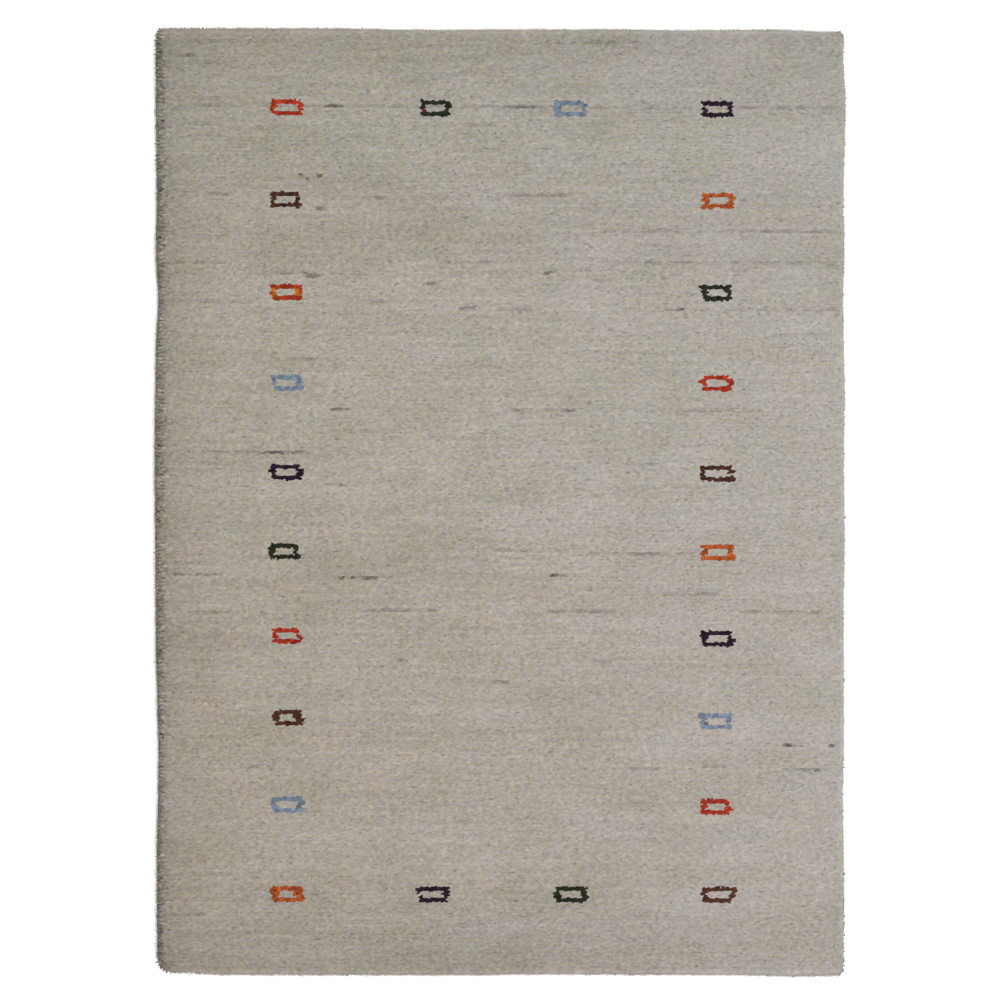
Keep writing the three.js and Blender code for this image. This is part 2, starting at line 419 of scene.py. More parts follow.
# %% Streaks of darker wool
# from, to, place along the rug's length, all in millimetres, and how dark, from 0 to 1
STREAKS = [
    (-560, -465, 818, 0.41), (135, 255, 814, 0.41), (70, 120, 814, 0.41), (-585, -530, 790, 0.54),
    (-540, -480, 775, 0.55), (345, 395, 741, 0.41), (-423, 604, 700, 0.34), (-317, -273, 700, 0.92),
    (2, 90, 700, 0.68), (414, 590, 700, 0.42), (-563, -466, 700, 0.47), (-560, -505, 672, 0.41),
    (-70, 0, 665, 0.41), (-565, -480, 648, 0.47), (-353, -314, 575, 0.60), (-521, -468, 545, 0.54),
    (-570, -547, 543, 0.80), (10, 134, 541, 0.44), (-284, -188, 541, 0.47), (-331, -305, 517, 0.57),
    (161, 604, 479, 0.34), (459, 590, 479, 0.54), (161, 604, 426, 0.34), (216, 343, 426, 0.47),
    (-110, -9, 426, 0.41), (-583, -477, 424, 0.41), (72, 108, 408, 0.80), (405, 457, 408, 0.47),
    (-427, -237, 403, 0.42), (-356, -304, 403, 1.00), (-350, -308, 400, 0.70), (161, 205, 393, 0.54),
    (-149, -105, 389, 0.60), (-530, -450, 354, 0.41), (-239, -184, 352, 0.41), (-78, -34, 343, 0.60),
    (288, 335, 341, 0.86), (329, 604, 341, 0.34), (-7, 62, 339, 0.41), (494, 581, 299, 0.41),
    (-383, -319, 256, 0.41), (-307, -260, 164, 0.90), (-2, 138, 164, 0.41), (16, 46, 162, 0.65),
    (99, 143, 162, 0.65), (301, 471, 162, 0.40), (-282, -269, 123, 0.60), (-530, -326, 88, 0.58),
    (-425, -375, 88, 0.82), (209, 290, 67, 0.47), (-330, -264, 31, 0.41), (-13, 71, -87, 0.47),
    (138, 354, -91, 0.55), (-583, -537, -107, 0.47), (-583, -494, -128, 0.70), (81, 126, -130, 0.90),
    (-291, -184, -133, 0.81), (281, 397, -165, 0.41), (-255, -105, -192, 0.56), (78, 214, -195, 0.50),
    (418, 575, -195, 0.47), (-556, -409, -195, 0.41), (131, 205, -280, 0.47), (-184, -158, -282, 0.60),
    (-20, 30, -318, 0.54), (497, 542, -431, 0.90), (577, 604, -433, 0.80), (-471, -399, -470, 0.41),
    (350, 420, -470, 0.41), (223, 290, -472, 0.47), (499, 590, -473, 0.90), (-583, -512, -730, 0.54),
]
CHANCE = np.random.default_rng(71)
PAIR_SLANT = ROW_PITCH * 0.215  # the right end of a knot stands this much further along than its middle
STREAK_TAPER = 12 * MM
FAINT_STREAK = 0.56  # streaks up to this dark are less even
# how much a streak stains its own line of ends, and then the other line of the row: usually, how much
# more in a blot, at the least and at the most
STRONG_STAINS = [(0.64, 0.24, 0.15, 0.95), (0.36, 0.36, 0.0, 0.9)]
FAINT_STAINS = [(0.50, 0.22, 0.1, 0.9), (0.26, 0.22, 0.0, 0.7)]
OWN_BLOT = 0.5  # how much of its blot is an end's own, beside its knot's
DRIFT_STATIONS = 14  # places across the rug at which each row's own shade is drawn
# each knot shares half of its blot with its neighbours, and the root keeps the sum as uneven
blots = CHANCE.normal(0, 1, (KNOT_ROWS, KNOT_COLUMNS + 2))
blots = (0.5 * blots[:, :-2] + blots[:, 1:-1] + 0.5 * blots[:, 2:]) / math.sqrt(1.5)


def line_of_ends(row, side):
    """The number of a line of yarn ends: each row holds two, its left ends and then its right ones."""
    return 2 * row + (side > 0)


def streak_lines():
    """Each streak with the number of the line of ends that it runs in."""
    line = np.arange(2 * KNOT_ROWS)
    found = []
    for start, end, along, dark in STREAKS:
        middles = row_edge(line / 2 + 0.25, (start + end) / 2 * MM)
        found.append((start * MM, end * MM, int(np.argmin(np.abs(middles - along * MM))), dark))
    return found


def streak_darkness(x, line, knot, own_noise):
    """How much of each end's wool is dark, from 0 to 1."""
    darkness = np.zeros(len(x))
    blot = blots[line // 2, knot] + OWN_BLOT * own_noise
    for start, end, streak_line, dark in streak_lines():
        taper = dark * smooth(x, start, start + STREAK_TAPER) * smooth(-x, -end, STREAK_TAPER - end)
        stains = STRONG_STAINS if dark > FAINT_STREAK else FAINT_STAINS
        own, other = [np.clip(usual + more * blot, least, most) for usual, more, least, most in stains]
        stain = np.where(line == streak_line, own, np.where(line == streak_line ^ 1, other, 0))
        darkness = np.maximum(darkness, np.where((x > start) & (x < end), taper * stain, 0))
    return darkness


row_drift = CHANCE.normal(0, 1, (KNOT_ROWS, DRIFT_STATIONS))


def drift_of_rows(x, row):
    """A shade of its own for each row, changing slowly across the rug."""
    station = (x / HALF_WIDTH + 1) / 2 * (DRIFT_STATIONS - 1)
    station = np.clip(station, 0, DRIFT_STATIONS - 1.001)  # so that another one always follows
    before = station.astype(int)
    part = station - before
    return row_drift[row, before] * (1 - part) + row_drift[row, before + 1] * part


print("streaks:", len(STREAKS))

# %% [markdown]
# Each knot leaves two cut ends of yarn, and the right one comes out a little further from the near end
# than the left one. So the heads lie like bricks, wider than they are deep. The pile leans a little to
# the right, the way it was tied, but it was sheared level, so every head lies flat. So an end isn't
# turned as a whole: its head stays over its place in the pattern and its root is moved aside.

# %% Roots and heads of the yarn ends
PILE_ROOT = 3 * MM
PILE_LEAN = (3.0 * MM, -0.8 * MM)  # how far a head stands aside from its root
ROOT_INSET = 8.5 * MM
PAIR_GAP = 1.5 * MM  # each end of a knot stands this far from its middle
HEAD_WIDE = 4.0 * MM  # half of a head's width
HEAD_DEEP = 2.2 * MM
HEAD_VARIES = 0.05
PLACE_JITTER = (0.85 * MM, 0.58 * MM)  # across the rug and along it
HEIGHT_JITTER = 0.13 * MM
HEAD_TILT = 0.045
EDGE_TILT = 0.7  # share of the edge's slope that a head takes on
PILE_SURFACE = [(0.0, 8.0), (1.6, 11.2), (4.6, 13.4), (8.6, 14.6), (13.0, 15.0)]  # inset, height in mm
# each long wave: its length across and along in mm, where it starts, and its share of the height
LUMPS = [(610, 480, 0.4, 0.40), (-330, 700, 2.1, 0.35), (205, -260, 4.0, 0.25)]
LUMP_HEIGHT = 0.5 * MM
LUMPS_BEGIN = (20 * MM, 60 * MM)  # the lumps rise between these insets


def surface_height(inset):
    insets, heights = np.array(PILE_SURFACE).T * MM
    return np.interp(inset, insets, heights)


def lump_at(x, y):
    """The long lumps of the CAD part's top."""
    lump = 0
    for along_x, along_y, start, share in LUMPS:
        waves = x / (along_x * MM) + y / (along_y * MM)
        lump = lump + share * np.sin(2 * math.pi * waves + start)
    inset = np.minimum(HALF_WIDTH - np.abs(x), HALF_LENGTH - np.abs(y))
    return LUMP_HEIGHT * lump * smooth(inset, *LUMPS_BEGIN)


def standing_ends():
    """The two ends of every knot, row by row, as a table of columns."""
    row, side, knot = np.meshgrid(
        np.arange(KNOT_ROWS), np.array([-1, 1]), np.arange(KNOT_COLUMNS), indexing="ij"
    )
    row, side, knot = row.ravel(), side.ravel(), knot.ravel()
    noise = CHANCE.normal(0, 1, (7, len(row)))
    grid_x = (knot + 0.5 - KNOT_COLUMNS / 2) * COLUMN_PITCH + side * PAIR_GAP
    grid_y = (row_edge(row, grid_x) + row_edge(row + 1, grid_x)) / 2 + side * PAIR_SLANT
    x = grid_x + PLACE_JITTER[0] * noise[0]
    y = grid_y + PLACE_JITTER[1] * noise[1]
    inset, out_x, out_y = inset_and_way_out(x, y)
    slope = (surface_height(inset + MM) - surface_height(inset - MM)) / (2 * MM)
    height = surface_height(inset) + lump_at(x, y) + HEIGHT_JITTER * noise[2]
    most_x, most_y = HALF_WIDTH - ROOT_INSET, HALF_LENGTH - ROOT_INSET
    return {
        "row": row,
        "knot": knot,
        "line": line_of_ends(row, side),
        "head_x": x,
        "head_y": y,
        "root_x": np.clip(x - PILE_LEAN[0], -most_x, most_x),
        "root_y": np.clip(y - PILE_LEAN[1], -most_y, most_y),
        "root_z": np.full(len(row), PILE_ROOT),
        "tilt_x": out_x * slope * EDGE_TILT + HEAD_TILT * noise[3],
        "tilt_y": out_y * slope * EDGE_TILT + HEAD_TILT * noise[4],
        "length": height - PILE_ROOT,
        "wide": HEAD_WIDE * (1 + HEAD_VARIES * noise[5]),
        "deep": HEAD_DEEP * (1 + HEAD_VARIES * noise[6]),
    }


ends = standing_ends()
print("standing yarn ends:", len(ends["row"]))

# %% [markdown]
# The outline is needed twice more: for the lowest yarn ends, which hang out over the rug's rim, and for
# the overcast edge beneath them. This walk round it puts two steps to each row on the long sides and two
# to each knot on the ends.

# %% A walk round the outline
STEPS_ON_SIDE = 2 * KNOT_ROWS
STEPS_ON_END = 2 * KNOT_COLUMNS
ARC_STEPS = 6
LEAST_RADIUS = 1 * MM


def arc_at(number, inset):
    """The points of one corner's arc, anticlockwise, with the corners counted from the near left."""
    side_x, side_y = CORNERS[number]
    radius = max(CORNER_RADII[side_x, side_y] - inset, LEAST_RADIUS)
    angle = math.pi * (1 + number / 2) + np.linspace(0, math.pi / 2, ARC_STEPS + 1)
    x = side_x * (HALF_WIDTH - inset - radius) + radius * np.cos(angle)
    y = side_y * (HALF_LENGTH - inset - radius) + radius * np.sin(angle)
    return np.column_stack([x, y])


def loop_at(inset):
    """The rounded outline at an inset, anticlockwise, and which of its points are on a wrap of yarn."""
    pieces, wraps = [], []
    for number in range(4):
        arc, following = arc_at(number, inset), arc_at((number + 1) % 4, inset)
        steps = STEPS_ON_END if number % 2 == 0 else STEPS_ON_SIDE
        part = np.arange(1, steps)[:, None] / steps
        pieces += [arc, arc[-1] + (following[0] - arc[-1]) * part]
        wraps += [np.arange(len(arc)) % 2, np.arange(1, steps) % 2]
    x, y = np.concatenate(pieces).T
    return x, y, np.concatenate(wraps)


print("steps round the outline:", len(loop_at(0)[0]))

# %% [markdown]
# Along the edges nothing holds the pile, so the outermost ends fan out over the rim and make its rounded
# edge. These ends are yarn ends like the others, but they really are turned outwards, and their heads lie
# closer together. A few thin ones stray past the rest, so that the outline is soft. On the left the pile
# leans away from the edge. There the ends of each row stay in a bunch and stand thinner between the rows,
# and the inside of the pile, darkened with painted shade, shows through as small teeth.

# %% A fan of ends along the rim
RIM_ROOT = (8.8, 4.0)  # inset and height in mm
# the layers of ends: inset and height of the heads in mm, their share of the full width, and how
# unevenly they reach out in mm
RIM_HEADS = [
    (6.5, 14.0, 1.0, 0.2), (4.3, 13.2, 1.0, 0.2), (2.2, 11.9, 1.0, 0.2), (0.8, 10.2, 0.9, 0.4),
    (-1.6, 8.4, 0.38, 1.1), (0.0, 6.0, 0.7, 0.6), (-3.3, 9.2, 0.22, 1.1),
]
RIM_SPREAD = 0.5 * MM
RIM_LENGTH_VARIES = 0.012
MOST_NOISE = 1.7
# how much further out the ends reach at three of the sides, in mm
LEFT_OUT, FAR_OUT, NEAR_OUT = -0.75, -0.25, 0.35
RIM_WIDE = 2.1 * MM  # half of a head, along the rim
RIM_DEEP = 1.55 * MM  # and across it
THIN_IN_ROW = 0.05  # how much thinner the ends on the left stand
THIN_BETWEEN_ROWS = 0.45
LEFTWARDS = (0.3, 0.9)  # how far left the way out points where the left side begins, and where it is full


def share_of_left(out_x):
    """How much a place at the rim belongs to the left side, from its way out."""
    return smooth(-out_x, *LEFTWARDS)


def rim_ends():
    """Ends that fan out, two to each row on the long sides and two to each knot on the short ones."""
    root_inset, root_height = RIM_ROOT
    loop_x, loop_y, wrap = loop_at(root_inset * MM)
    row = (loop_y - FIRST_ROW_EDGE) / (-2 * FIRST_ROW_EDGE) * KNOT_ROWS
    row = np.clip(row.astype(int), 0, KNOT_ROWS - 1)
    knot = np.clip((loop_x / COLUMN_PITCH + KNOT_COLUMNS / 2).astype(int), 0, KNOT_COLUMNS - 1)
    _, out_x, out_y = inset_and_way_out(loop_x, loop_y)
    full = 1 - share_of_left(out_x) * np.where(wrap == 1, THIN_IN_ROW, THIN_BETWEEN_ROWS)
    further_at_end = np.where(out_y > 0, FAR_OUT, NEAR_OUT) * np.abs(out_y)
    further = LEFT_OUT * np.maximum(-out_x, 0) + further_at_end
    tables = []
    for inset, height, share, fray in RIM_HEADS:
        noise = np.clip(CHANCE.normal(0, 1, (6, len(row))), -MOST_NOISE, MOST_NOISE)
        aside = RIM_SPREAD * noise[0]
        x, y = loop_x - out_y * aside, loop_y + out_x * aside
        out, up = (root_inset - inset) * MM, (height - root_height) * MM
        reach = out + MM * (fray * noise[1] + further)
        lean_out = reach / up
        size = full * (1 + HEAD_VARIES * noise[2])
        tables.append(
            {
                "row": row,
                "knot": knot,
                "line": line_of_ends(row, 2 * wrap - 1),
                "head_x": x + out_x * reach,
                "head_y": y + out_y * reach,
                "root_x": x,
                "root_y": y,
                "root_z": np.full(len(row), root_height * MM),
                "tilt_x": out_x * lean_out + HEAD_TILT * noise[3],
                "tilt_y": out_y * lean_out + HEAD_TILT * noise[4],
                "length": math.hypot(out, up) * (1 + RIM_LENGTH_VARIES * noise[5]),
                "wide": (np.abs(out_x) * RIM_DEEP + np.abs(out_y) * RIM_WIDE * share) * size,
                "deep": (np.abs(out_x) * RIM_WIDE * share + np.abs(out_y) * RIM_DEEP) * size,
            }
        )
    return {name: np.concatenate([table[name] for table in tables]) for name in tables[0]}


rim = rim_ends()
ends = {name: np.concatenate([ends[name], rim[name]]) for name in ends}
root_x, root_y = wander(ends["root_x"], ends["root_y"])
head_x, head_y = wander(ends["head_x"], ends["head_y"])
print("all yarn ends:", len(root_x))

# %% [markdown]
# The colour of each end is decided here, and the material only adds what varies within an end. Yarn is
# spun and dyed in lots that never quite match, so the ground changes a little along the rug: greener at
# the far end, warmer at the near one. The ground is also darker towards both ends. Light and shade are
# painted into the colour as well: painted shade on the flank of the left edge, which is seen from the
# side, on the rim and on the outermost ends on the right, and painted light on the outermost ends at the
# far and near ends. Each knot and each row has a shade of its own, less so towards the right, and a few
# ends are of darker wool. A dyed knot takes its dye a little unevenly.

# %% The colours of the yarn ends
FLEECE = np.array((0.4145, 0.3775, 0.3295))
DARK_FLEECE = np.array((0.052, 0.043, 0.037))
# place along the rug in mm, how much lighter the ground is there, and how much redder than it is green
GROUND_ALONG = [
    (-837, -0.15, 0.012), (-765, -0.12, 0.011), (-700, -0.06, 0.010), (-600, -0.02, 0.010),
    (-90, -0.02, 0.010), (0, 0.01, -0.005), (390, 0.0, -0.010), (430, -0.04, -0.008),
    (560, -0.04, -0.012), (630, -0.02, -0.035), (720, -0.06, -0.030), (837, -0.12, -0.025),
]
# distance from the left side in mm, and how much painted shade darkens the flank of the pile there
LEFT_FLANK_PAINTED_SHADE = [
    (-4, 0.16), (0, 0.27), (5, 0.39), (9, 0.38), (15, 0.27),
    (21, 0.16), (30, 0.12), (60, 0.06), (130, 0.0),
]
END_PAINTED_LIGHT = 0.19  # painted light: the outermost ends at the far and near ends are painted this much lighter
END_BAND = (12 * MM, 4 * MM)  # how far in from an end that begins, and how far in it is full
RIM_PAINTED_SHADE = 0.07  # painted shade on the rim's ends, against the light they catch from the glowing floor
RIM_BAND = 3.5 * MM
RIGHT_EDGE_PAINTED_SHADE = 0.022  # painted shade: the outermost ends on the right are painted this much darker and less red
RIGHT_SHADE_BAND = (40 * MM, 8 * MM)
BLUER_RIGHT = 0.035  # the rug is this much bluer at its right side, and yellower at its left
REDDER_LEFT = 0.014  # and this much redder at its left
TINT_FROM_BLUE = 0.5  # a lot loses this share of its tint in blue
LIGHTER_NEAR_RIGHT = 0.55  # share of the near end's darkening that is missing on the right
CALMER_RIGHT = 0.45  # share of the yarn's unevenness that is missing at the right side
KNOT_SHADE = 0.034
END_SHADE = 0.020
ROW_SHADE = 0.036
# painted shade: how much the ends on the left flank are darkened or lightened at random, for the shade in
# the gaps between them
FLANK_PAINTED_SHADE = 0.21
FLANK_KNOT, FLANK_END = 0.35, 0.9  # what each knot and each end has of the flank's painted unevenness
OPEN_FLANK = (0.06, 0.36)  # how much painted shade the flank has where the pile begins to open, and where it is open
TEETH_PAINTED_SHADE = 0.16  # painted shade on the left: how much the two lines of ends in a row differ, as dark teeth
TEETH_FLANK = (0.12, 0.38)
TEETH_DRIFT = 0.5
LEAST_LEVEL = 0.25
END_TINT = 0.020
OPEN_LEFT = 0.28
STREAK_THIN = 0.2  # the darkest wool is squeezed this much thinner between its neighbours
STREAK_DARK = (0.05, 0.25)
DYED_WIDER = 0.966  # as shares of the size of other heads
DYED_DEEPER = 1.388
DYED_TALLER = 0.14 * MM
DYED_ASTRAY = 0.5 * MM  # how far a dyed head strays from its line
DYED_APART = 0.45 * MM  # how much further apart thicker yarn pushes the rows of a motif
DYE_VARIES = 0.20
DYE_TINT = 0.05
DYE_LEVELS = (0.5, 1.6)
DYE_TINTS = (0.6, 1.5)
FLECK_SHARE = 0.006
FLECK_DARK = (0.10, 0.30)  # how dark a fleck is at the least, and how much darker it can be


def left_flank_painted_shade(x):
    # painted shade: how much darker the pile's left flank is painted at a place across the rug
    distances, darker = np.array(LEFT_FLANK_PAINTED_SHADE).T
    return np.interp(x + HALF_WIDTH, distances * MM, darker)


def ground_and_painted_light(x, y):
    """The undyed wool at a place, with painted shade on the left flank, rim and right edge, and painted
    light at the ends.
    """
    places, lighter, redder = np.array(GROUND_ALONG).T
    share = np.where(y < 0, 1 - LIGHTER_NEAR_RIGHT * smooth(x, 0, HALF_WIDTH), 1)
    # painted shade on the left flank of the pile
    level = (1 + share * np.interp(y, places * MM, lighter)) * (1 - left_flank_painted_shade(x))
    # painted light on the outermost ends at the far and near ends
    in_end = smooth(np.abs(y), HALF_LENGTH - END_BAND[0], HALF_LENGTH - END_BAND[1])
    level = level * (1 + END_PAINTED_LIGHT * in_end)
    # painted shade on the rim's ends
    nominal_x = np.clip(x - SHIFT_X, -HALF_WIDTH, HALF_WIDTH)
    inset, _, _ = inset_and_way_out(nominal_x, np.clip(y, -HALF_LENGTH, HALF_LENGTH))
    level = level * (1 - RIM_PAINTED_SHADE * smooth(-inset, -RIM_BAND, 0))
    # painted shade on the outermost ends on the right, which also takes out some red
    right_edge_shade = RIGHT_EDGE_PAINTED_SHADE * smooth(x, HALF_WIDTH - RIGHT_SHADE_BAND[0], HALF_WIDTH - RIGHT_SHADE_BAND[1])
    level = level * (1 - right_edge_shade)
    tint = np.interp(y, places * MM, redder) - right_edge_shade
    red = 1 + tint - REDDER_LEFT * x / HALF_WIDTH
    blue = 1 - TINT_FROM_BLUE * np.abs(tint) + BLUER_RIGHT * x / HALF_WIDTH
    return FLEECE * level[:, None] * np.column_stack([red, np.ones(len(x)), blue])


def colour_ends():
    """The colour of every end with its painted shade and light, and what its size depends on: streaks,
    dyes and the open pile.
    """
    count = len(head_x)
    colour = ground_and_painted_light(head_x, head_y)
    knot_noise = CHANCE.normal(0, 1, (KNOT_ROWS, KNOT_COLUMNS))[ends["row"], ends["knot"]]
    end_noise, red_noise, blue_noise, dye_noise = CHANCE.normal(0, 1, (4, count))
    drift = drift_of_rows(np.clip(head_x, -HALF_WIDTH, HALF_WIDTH), ends["row"])
    calm = 1 - CALMER_RIGHT * smooth(head_x, 0, HALF_WIDTH)
    level = 1 + calm * (KNOT_SHADE * knot_noise + END_SHADE * end_noise + ROW_SHADE * drift)
    # painted shade on the left flank, uneven and with dark teeth between the rows
    flank_painted_shade = left_flank_painted_shade(head_x)
    open_pile = smooth(flank_painted_shade, *OPEN_FLANK)
    painted_teeth = np.where(ends["line"] % 2, 1.0, -1.0) * (1 + TEETH_DRIFT * drift)
    painted_teeth = painted_teeth * smooth(flank_painted_shade, *TEETH_FLANK)
    level = level + FLANK_PAINTED_SHADE * (FLANK_KNOT * knot_noise + FLANK_END * end_noise) * open_pile
    level = np.maximum(level + TEETH_PAINTED_SHADE * painted_teeth, LEAST_LEVEL)
    tints = np.column_stack([1 + END_TINT * red_noise, np.ones(count), 1 + END_TINT * blue_noise])
    colour = colour * level[:, None] * tints
    streak = streak_darkness(head_x - SHIFT_X, ends["line"], ends["knot"], dye_noise)
    is_fleck = CHANCE.random(count) < FLECK_SHARE * calm
    fleck = is_fleck * (FLECK_DARK[0] + FLECK_DARK[1] * CHANCE.random(count))
    dark = np.maximum(streak, fleck)[:, None]
    colour = colour * (1 - dark) + DARK_FLEECE * dark
    dye, is_dyed, from_middle_row = dye_knots(head_x - SHIFT_X, ends["row"])
    # the shares 0.8 and 0.6 leave the sum as uneven as each of its parts
    uneven = np.clip(1 + DYE_VARIES * (0.8 * knot_noise + 0.6 * end_noise), *DYE_LEVELS)
    greener = np.clip(1 + DYE_TINT * dye_noise, *DYE_TINTS)
    dye = dye * uneven[:, None] * np.column_stack([np.ones(count), greener, np.ones(count)])
    colour[is_dyed] = dye[is_dyed]
    return np.clip(colour, 0, 1), streak, is_dyed, from_middle_row, open_pile


yarn_colour_and_painted_light, streak, is_dyed, from_middle_row, open_pile = colour_ends()
# The pile on the left is thin, and dyed yarn is thick: its heads are taller and crowd each other astray
thin = 1 - OPEN_LEFT * open_pile * CHANCE.random(len(open_pile))
wide = thin * np.where(is_dyed, DYED_WIDER, 1)
deep = thin * np.where(is_dyed, DYED_DEEPER, 1 - STREAK_THIN * smooth(streak, *STREAK_DARK))
taller = np.where(is_dyed, DYED_TALLER, 0)
head_y = head_y + np.where(is_dyed, DYED_ASTRAY * CHANCE.normal(0, 1, len(head_y)), 0)
head_y = head_y + DYED_APART * from_middle_row
print("dyed ends:", int(is_dyed.sum()), "ends in streaks:", int((streak > 0).sum()))

# %% [markdown]
# A cut end of yarn is thin at its root and opens like a brush where it was sheared, until it meets its
# neighbours. One small mesh does for all of them: a point at the root, a square just under the top and a
# low pillow over it. The square's edges are marked sharp, so that the pillow is shaded as the nearly
# level face it is. Eight faces are enough, as there are over a hundred thousand ends of a few pixels.

# %% The yarn end that every knot repeats
SQUARE_HEIGHT = 0.965
END_CORNERS = [(1, 1), (-1, 1), (-1, -1), (1, -1)]

strand_mesh = bpy.data.meshes.new("yarn_end")
strand_points = [(0, 0, 0)] + [(x, y, SQUARE_HEIGHT) for x, y in END_CORNERS] + [(0, 0, 1)]
tip = len(strand_points) - 1
strand_faces = []
for number in range(len(END_CORNERS)):
    here, after = 1 + number, 1 + (number + 1) % len(END_CORNERS)
    strand_faces.append((0, after, here))
    strand_faces.append((here, after, tip))
strand_mesh.from_pydata(strand_points, [], strand_faces)
strand_mesh.shade_smooth()
for edge in strand_mesh.edges:
    edge.use_edge_sharp = 0 not in edge.vertices and tip not in edge.vertices
along = strand_mesh.attributes.new("along", "FLOAT", "POINT")
along.data.foreach_set("value", [point[2] for point in strand_points])
strand = add_object("yarn_end", strand_mesh)
print("faces in a yarn end:", len(strand_faces))

# %% [markdown]
# Wool needs one look that the pile and the foundation share. Fibres of slightly different colours lie
# side by side and felt together at the cut, so the colour changes softly every few millimetres, more
# slowly across the rug than along it, as the ends lie in rows. Broad soft patches lie over that. It is a
# node group, built once, with its sizes and strengths as inputs.


# %% The node group for heathered wool
GRAIN_TURN = 0.2  # the grain rises to the right, as the pairs of ends do
GRAIN_STRETCH = (0.62, 1.0, 1.0)
TINT_SCALE = 0.7  # the grain of the tints is coarser: its scale is this share of the shades'
FIBRE_SCALE = 520.0
PATCH_SCALE = 9.0
BAND_SCALE = 6.0
BAND_STRETCH = (0.35, 3.0, 1.0)
TINT_PATCH_SCALE = 16.0
PATCH_REDDER = 0.14
PATCH_BLUER = 0.5
RED_AND_BLUE = (1.0, 0.0, 1.3)  # how much of the tint goes to red, green and blue
ROUGHNESS = (0.82, 0.16)  # of the smoothest wool, and how much rougher it can be


def add_noise(tree, place, scale, detail, output="Fac"):
    inputs = {"Vector": place, "Scale": scale, "Detail": detail}
    return add_node(tree, "ShaderNodeTexNoise", output, inputs)


def add_mapping(tree, place, stretch, turn=0.0):
    inputs = {"Vector": place, "Rotation": (0.0, 0.0, turn), "Scale": stretch}
    return add_node(tree, "ShaderNodeMapping", "Vector", inputs)


def object_place(tree):
    return add_node(tree, "ShaderNodeTexCoord", "Object", {})


def make_heather_group():
    group, given, result = new_group(
        "ShaderNodeTree",
        "heathered_wool",
        [
            ("Colour", "Color", (0.5, 0.45, 0.4, 1)),
            ("Grain scale", "Float", 160.0),
            ("Grain contrast", "Float", 0.4),
            ("Tint contrast", "Float", 0.2),
            ("Fibre contrast", "Float", 0.1),
            ("Patch contrast", "Float", 0.1),
        ],
        [("Colour", "Color"), ("Height", "Float"), ("Roughness", "Float")],
    )
    place = object_place(group)
    slanted = add_mapping(group, place, GRAIN_STRETCH, -GRAIN_TURN)
    tint_scale = add_math(group, "MULTIPLY", given["Grain scale"], TINT_SCALE)
    grain = add_noise(group, slanted, given["Grain scale"], 1.0)
    tint = add_noise(group, slanted, tint_scale, 1.0, "Color")
    fibre = add_noise(group, place, FIBRE_SCALE, 2.0)
    patch = add_noise(group, place, PATCH_SCALE, 3.0)
    band = add_noise(group, add_mapping(group, place, BAND_STRETCH), BAND_SCALE, 4.0)
    tint_patch = add_noise(group, place, TINT_PATCH_SCALE, 4.0)

    def part(value, middle, contrast):
        """How far a value is from its middle, as strong as the contrast says."""
        return add_math(group, "MULTIPLY", add_math(group, "SUBTRACT", value, middle), contrast)

    grain_part = part(grain, 0.5, given["Grain contrast"])
    fibre_part = part(fibre, 0.5, given["Fibre contrast"])
    patch_part = part(add_math(group, "ADD", patch, band), 1.0, given["Patch contrast"])
    level = add_math(group, "ADD", add_math(group, "ADD", grain_part, fibre_part), patch_part)
    level = add_math(group, "ADD", level, 1.0)
    tints = add_vector(group, "SUBTRACT", tint, (0.5, 0.5, 0.5))
    tints = add_vector(group, "MULTIPLY", tints, RED_AND_BLUE)
    tints = add_scaled(group, tints, given["Tint contrast"])
    tints = add_vector(group, "ADD", tints, (1.0, 1.0, 1.0))
    redder = part(tint_patch, 0.5, PATCH_REDDER)
    bluer = add_math(group, "MULTIPLY", patch_part, PATCH_BLUER)
    patch_tint = add_node(group, "ShaderNodeCombineXYZ", "Vector", {"X": redder, "Z": bluer})
    tints = add_vector(group, "ADD", tints, patch_tint)
    coloured = add_scaled(group, add_vector(group, "MULTIPLY", given["Colour"], tints), level)
    rough = add_math(group, "MULTIPLY", fibre, ROUGHNESS[1])
    rough = add_math(group, "ADD", rough, ROUGHNESS[0])
    fill_inputs(group, result, {"Colour": coloured, "Height": fibre, "Roughness": rough})
    return group


heather = make_heather_group()
print("nodes in heathered_wool:", len(heather.nodes))

# %% [markdown]
# The pile's material takes each end's own colour and adds the heather to it. It also paints shade on
# it: darker towards the root, where little light comes, and at a head's edge, where the heads meet.
# Wool is matt with a faint sheen from its fibres, so the sheen is set on the shader itself and the rest
# comes through the nodes.

# %% The wool of the pile
# painted shade: how dark the root is painted, as a share of the tip
ROOT_PAINTED_SHADE = 0.6
HEAD_EDGE_PAINTED_SHADE = 0.13  # painted shade: a head is painted this much darker at its edge than in its middle
PILE_BUMP = (0.25, 0.8 * MM)  # strength and height
PILE_WOOL = {
    "Grain scale": 190.0,
    "Grain contrast": 0.61,
    "Tint contrast": 0.22,
    "Fibre contrast": 0.10,
    "Patch contrast": 0.23,
}
MATT_WITH_SHEEN = {"Sheen Weight": 0.04, "Sheen Roughness": 0.5, "Specular IOR Level": 0.08}


def attribute(tree, name, output="Fac"):
    return add_node(tree, "ShaderNodeAttribute", output, {}, attribute_name=name)


def add_bump(tree, shader, height, strength, distance):
    inputs = {"Height": height, "Strength": strength, "Distance": distance}
    fill_inputs(tree, shader, {"Normal": add_node(tree, "ShaderNodeBump", "Normal", inputs)})


def add_wool(tree, shader, level, settings):
    """The heather over the yarn's own colour, at a level, into the shader."""
    wool = tree.nodes.new("ShaderNodeGroup")
    wool.node_tree = heather
    fill_inputs(tree, wool, {**settings, "Colour": attribute(tree, "yarn", "Color")})
    colour = add_scaled(tree, wool.outputs["Colour"], level)
    fill_inputs(tree, shader, {"Base Color": colour, "Roughness": wool.outputs["Roughness"]})
    return wool


